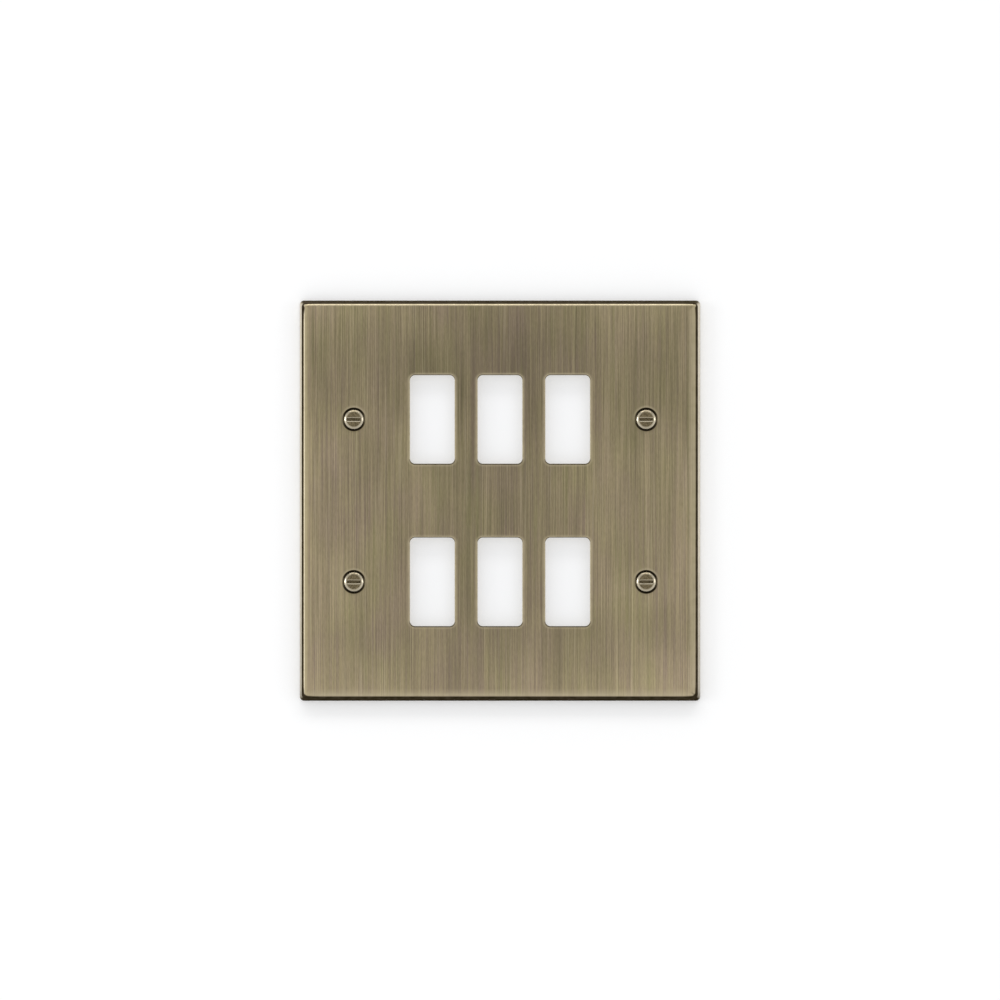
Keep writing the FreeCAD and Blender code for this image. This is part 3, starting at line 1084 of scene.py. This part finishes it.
def tidied(shape):
    """Merge a shape's doubles and turn its faces outwards."""
    bmesh.ops.remove_doubles(shape, verts=shape.verts, dist=WELD)
    bmesh.ops.recalc_face_normals(shape, faces=shape.faces)


def closed_up(piece):
    """Tidy a piece, make sure that nothing is open and lay the grain's UV map."""
    shape = bmesh.new()
    shape.from_mesh(piece.data)
    tidied(shape)
    loose = [edge for edge in shape.edges if not edge.is_manifold]
    if loose:
        raise RuntimeError(f"{piece.name} has {len(loose)} edges that don't join two faces")
    grain = shape.loops.layers.uv.new("grain")
    for face in shape.faces:
        for corner in face.loops:
            corner[grain].uv = (corner.vert.co.x, corner.vert.co.z)
    shape.to_mesh(piece.data)
    shape.free()


# Geometry node trees

def new_tree(name, inputs):
    """A geometry tree with these named inputs, and its input node's outputs."""
    tree = bpy.data.node_groups.new(name, "GeometryNodeTree")
    tree.interface.new_socket(name="Geometry", in_out="INPUT", socket_type="NodeSocketGeometry")
    for label, kind in inputs.items():
        tree.interface.new_socket(name=label, in_out="INPUT", socket_type=kind)
    tree.interface.new_socket(name="Geometry", in_out="OUTPUT", socket_type="NodeSocketGeometry")
    return tree, tree.nodes.new("NodeGroupInput").outputs


def joined(tree, *parts):
    """Several geometries as one."""
    node = tree.nodes.new("GeometryNodeJoinGeometry")
    for part in parts:
        tree.links.new(part, node.inputs[0])
    return node.outputs[0]


def made_real(tree, copies):
    """Copies turned into plain geometry."""
    return add_node(tree, "GeometryNodeRealizeInstances", {0: copies}).outputs[0]


def on_grid(tree, instance, columns, rows, across, upright):
    """Copies of an instance on a centred grid, made real."""
    def span(count, pitch):
        """From the first of a count of places to the last."""
        return worked_out(tree, "MULTIPLY", worked_out(tree, "SUBTRACT", count, 1.0), pitch)

    points = add_node(tree, "GeometryNodeMeshGrid", {
        "Vertices X": columns,
        "Vertices Y": rows,
        "Size X": span(columns, across),
        "Size Y": span(rows, upright),
    }).outputs[0]
    copies = add_node(tree, "GeometryNodeInstanceOnPoints", {"Points": points, "Instance": instance})
    return made_real(tree, copies.outputs[0])


def object_shape(tree, holder):
    """Geometry of the object on an object socket."""
    return add_node(tree, "GeometryNodeObjectInfo", {"Object": holder}).outputs["Geometry"]


def equal(tree, value, number):
    """Whether a whole number is this one."""
    inputs = {2: value, 3: number}
    return add_node(tree, "FunctionNodeCompare", inputs, data_type="INT", operation="EQUAL").outputs[0]


def panel(tree, edges, height, operation, parting):
    """Flat panel between the open edges whose height compares in this way with the parting height."""
    faces_at_edge = tree.nodes.new("GeometryNodeInputMeshEdgeNeighbors").outputs[0]
    position = tree.nodes.new("GeometryNodeInputPosition").outputs[0]
    level = add_node(tree, "ShaderNodeSeparateXYZ", {0: position}).outputs["Z"]
    heights = {0: level, 1: parting}
    side = add_node(tree, "FunctionNodeCompare", heights, data_type="FLOAT", operation=operation)
    both = {0: equal(tree, faces_at_edge, 1), 1: side.outputs[0]}
    chosen = add_node(tree, "FunctionNodeBooleanMath", both, operation="AND").outputs[0]
    outline = add_node(tree, "GeometryNodeMeshToCurve", {0: edges, 1: chosen}).outputs[0]
    filled = add_node(tree, "GeometryNodeFillCurve", {0: outline}, mode="TRIANGLES").outputs[0]
    lift = add_node(tree, "ShaderNodeCombineXYZ", {"Z": height}).outputs[0]
    raised = add_node(tree, "GeometryNodeTransform", {"Geometry": filled, "Translation": lift}).outputs[0]
    flat = {"Geometry": raised, "Shade Smooth": False}
    return add_node(tree, "GeometryNodeSetShadeSmooth", flat).outputs[0]


def stood_up(tree, shape):
    """A shape turned into the frame and made real."""
    turned = add_node(tree, "GeometryNodeTransform", {"Geometry": shape, "Rotation": Euler(STAND_UP)})
    return made_real(tree, turned.outputs[0])


def finished(tree, shape, material, selection=True):
    """A shape with a material on the faces of a selection."""
    inputs = {"Geometry": shape, "Selection": selection, "Material": material}
    return add_node(tree, "GeometryNodeSetMaterial", inputs).outputs[0]


def punched_sheet_tree():
    """Tree that sets windows and screw seats into a skirt and fills the sheet between them."""
    tree, given = new_tree("punched_sheet", {
        "Window Edge": "NodeSocketObject",
        "Screw Seat": "NodeSocketObject",
        "Columns": "NodeSocketInt",
        "Rows": "NodeSocketInt",
        "Module Pitch": "NodeSocketFloat",
        "Row Pitch": "NodeSocketFloat",
        "Screws Across": "NodeSocketFloat",
        "Screws Upright": "NodeSocketFloat",
        "Depth": "NodeSocketFloat",
        "Sheet": "NodeSocketFloat",
        "Front Finish": "NodeSocketMaterial",
        "Back Finish": "NodeSocketMaterial",
    })
    windows = on_grid(tree, object_shape(tree, given["Window Edge"]), given["Columns"], given["Rows"],
                      given["Module Pitch"], given["Row Pitch"])
    seats = on_grid(tree, object_shape(tree, given["Screw Seat"]), 2, 2, given["Screws Across"],
                    given["Screws Upright"])
    edges = joined(tree, given["Geometry"], windows, seats)
    back_height = worked_out(tree, "SUBTRACT", given["Depth"], given["Sheet"])
    parting = worked_out(tree, "MULTIPLY_ADD", given["Sheet"], 0.5, back_height)
    front = panel(tree, edges, given["Depth"], "GREATER_THAN", parting)
    back = panel(tree, edges, back_height, "LESS_THAN", parting)
    back = add_node(tree, "GeometryNodeFlipFaces", {0: back}).outputs[0]
    mark = {"Geometry": back, "Name": "finish", "Value": BACK}
    back = add_node(tree, "GeometryNodeStoreNamedAttribute", mark, data_type="INT", domain="FACE").outputs[0]
    parts = {"Geometry": joined(tree, edges, front, back), "Distance": WELD}
    whole = add_node(tree, "GeometryNodeMergeByDistance", parts).outputs[0]
    finish = add_node(tree, "GeometryNodeInputNamedAttribute", {"Name": "finish"}, data_type="INT").outputs[0]
    faced = finished(tree, stood_up(tree, whole), given["Front Finish"])
    backed = finished(tree, faced, given["Back Finish"], equal(tree, finish, BACK))
    add_node(tree, "NodeGroupOutput", {0: backed})
    return tree


def screw_pattern_tree():
    """Tree that sets like screws at the corners of a rectangle."""
    tree, given = new_tree("screw_pattern", {
        "Across": "NodeSocketFloat",
        "Upright": "NodeSocketFloat",
        "Finish": "NodeSocketMaterial",
    })
    screws = on_grid(tree, given["Geometry"], 2, 2, given["Across"], given["Upright"])
    add_node(tree, "NodeGroupOutput", {0: finished(tree, stood_up(tree, screws), given["Finish"])})
    return tree


def grown(piece, tree, values):
    """Give the piece the plain mesh that a tree makes from it, with no modifier or empty slot left."""
    modifier = piece.modifiers.new(tree.name, "NODES")
    modifier.node_group = tree
    for socket in tree.interface.items_tree:
        if socket.name in values and socket.in_out == "INPUT":
            modifier[socket.identifier] = values[socket.name]
    bpy.context.view_layer.update()
    depsgraph = bpy.context.evaluated_depsgraph_get()
    made = bpy.data.meshes.new_from_object(piece.evaluated_get(depsgraph), preserve_all_data_layers=True,
                                           depsgraph=depsgraph)
    piece.modifiers.clear()
    spent = piece.data
    piece.data = made
    bpy.data.meshes.remove(spent)
    made.name = piece.name
    for place in reversed(range(len(made.materials))):
        if made.materials[place] is None:
            made.materials.pop(index=place)


# Pieces

def put_away(*helpers):
    """Remove helper objects that a tree has used."""
    for helper in helpers:
        bpy.data.objects.remove(helper)


def settled(piece, node):
    """Let a finished piece stand for its CAD node."""
    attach(piece, "root")
    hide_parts(node)


class GRIDPLATE_OT_front_plate(bpy.types.Operator):
    """Press the sheet: skirt, windows and screw seats"""
    bl_idname = "gridplate.front_plate"
    bl_label = "Front Plate"

    def execute(self, context):
        settings = context.scene.grid_plate
        plate = settings.plate
        piece = lofted("plate_sheet", skirt_rings(plate))
        window = lofted("window_edge", window_rings(plate))
        seat = lofted("screw_seat", seat_rings(plate, even_turns(SEAT_POINTS)))
        grown(piece, punched_sheet_tree(), {
            "Window Edge": window,
            "Screw Seat": seat,
            "Columns": plate.columns,
            "Rows": plate.rows,
            "Module Pitch": plate.module_pitch,
            "Row Pitch": plate.row_pitch,
            "Screws Across": settings.screws.across,
            "Screws Upright": settings.screws.upright,
            "Depth": plate.depth,
            "Sheet": plate.sheet,
            "Front Finish": brushed_brass(settings.finish),
            "Back Finish": unbrushed_brass(settings.finish),
        })
        put_away(window, seat)
        closed_up(piece)
        settled(piece, "front_plate")
        return {"FINISHED"}


class GRIDPLATE_OT_fixing_screws(bpy.types.Operator):
    """Turn a screw and set four of them in their seats"""
    bl_idname = "gridplate.fixing_screws"
    bl_label = "Fixing Screws"

    def execute(self, context):
        settings = context.scene.grid_plate
        screw = settings.screws
        edge_height = -SCREW_LOW.y - screw.rise - screw.land
        piece = one_screw("plate_screws", screw, edge_height, -SCREW_HIGH.y)
        grown(piece, screw_pattern_tree(), {
            "Across": screw.across,
            "Upright": screw.upright,
            "Finish": turned_brass(settings.finish),
        })
        closed_up(piece)
        settled(piece, "fixing_screws")
        return {"FINISHED"}


# Stage

def raise_wall(stage, plate):
    """Put up the wall just behind the rim."""
    half = stage.wall_side / 2
    corners = [(-half, -half), (half, -half), (half, half), (-half, half)]
    mesh = bpy.data.meshes.new("wall")
    mesh.from_pydata([(x, stage.wall_gap, z) for x, z in corners], [], [(0, 1, 2, 3)])
    mesh.materials.append(wall_white(stage, plate))
    wall = bpy.data.objects.new("wall", mesh)
    bpy.context.scene.collection.objects.link(wall)


def room_light(stage):
    """Make a world that looks white, and lights matt surfaces at the room's own level."""
    world = bpy.data.worlds.new("room")
    world.use_nodes = True
    tree = world.node_tree
    tree.nodes.clear()
    strength = remapped(tree, seen_directly(tree), Spread(0.0, 1.0, stage.room, 1.0))
    light = add_node(tree, "ShaderNodeBackground", {"Color": (1.0, 1.0, 1.0, 1.0), "Strength": strength})
    add_node(tree, "ShaderNodeOutputWorld", {0: light.outputs[0]})
    bpy.context.scene.world = world


def hang_lamp(lamp):
    """Hang a rectangular lamp that shines at the plate's middle."""
    light = bpy.data.lights.new(lamp.name, "AREA")
    light.shape = "RECTANGLE"
    light.size = lamp.width
    light.size_y = lamp.height
    light.energy = lamp.radiance * math.pi * lamp.width * lamp.height
    holder = bpy.data.objects.new(lamp.name, light)
    holder.location = lamp.place
    holder.rotation_euler = (PLATE_MIDDLE - Vector(lamp.place)).to_track_quat("-Z", "Y").to_euler()
    holder.visible_camera = False
    bpy.context.scene.collection.objects.link(holder)


def place_camera(stage):
    """Set the camera square on to the plate, as far off as its lens and the picture's width ask."""
    lens = bpy.data.cameras.new("camera")
    lens.lens = stage.lens
    camera = bpy.data.objects.new("camera", lens)
    distance = stage.view_width / lens.sensor_width * lens.lens
    camera.location = (0.0, PLATE_LOW.y - distance, stage.eye_height)
    camera.rotation_euler = (QUARTER_TURN, 0.0, 0.0)
    bpy.context.scene.collection.objects.link(camera)
    bpy.context.scene.camera = camera


class GRIDPLATE_OT_stage(bpy.types.Operator):
    """Set up the wall, the lamps, the room and the camera"""
    bl_idname = "gridplate.stage"
    bl_label = "Stage"

    def execute(self, context):
        settings = context.scene.grid_plate
        raise_wall(settings.stage, settings.plate)
        room_light(settings.stage)
        for lamp in LAMPS:
            hang_lamp(lamp)
        place_camera(settings.stage)
        context.scene.view_settings.view_transform = "Standard"
        return {"FINISHED"}


class GRIDPLATE_PT_panel(bpy.types.Panel):
    """Steps that build the grid switch plate, and the values that they use"""
    bl_idname = "GRIDPLATE_PT_panel"
    bl_label = "Grid Switch Plate"
    bl_space_type = "VIEW_3D"
    bl_region_type = "UI"
    bl_category = "Grid Plate"

    def draw(self, context):
        for operator in OPERATORS:
            self.layout.operator(operator.bl_idname)
        for group in GridPlateSettings.__annotations__:
            values = getattr(context.scene.grid_plate, group)
            box = self.layout.box()
            box.label(text=group.capitalize())
            for value in type(values).__annotations__:
                box.prop(values, value)


GROUPS = (PlateSizes, ScrewSizes, FinishColours, StageValues, GridPlateSettings)
OPERATORS = (GRIDPLATE_OT_front_plate, GRIDPLATE_OT_fixing_screws, GRIDPLATE_OT_stage)
CLASSES = (*GROUPS, *OPERATORS, GRIDPLATE_PT_panel)


def register():
    """Make the classes and the settings known to Blender."""
    for each in CLASSES:
        bpy.utils.register_class(each)
    bpy.types.Scene.grid_plate = PointerProperty(type=GridPlateSettings)


def unregister():
    """Take the settings and the classes out again."""
    del bpy.types.Scene.grid_plate
    for each in reversed(CLASSES):
        bpy.utils.unregister_class(each)


def main():
    """Build the plate, its screws and the stage."""
    register()
    bpy.ops.gridplate.front_plate()
    bpy.ops.gridplate.fixing_screws()
    bpy.ops.gridplate.stage()


if __name__ == "__main__":
    main()
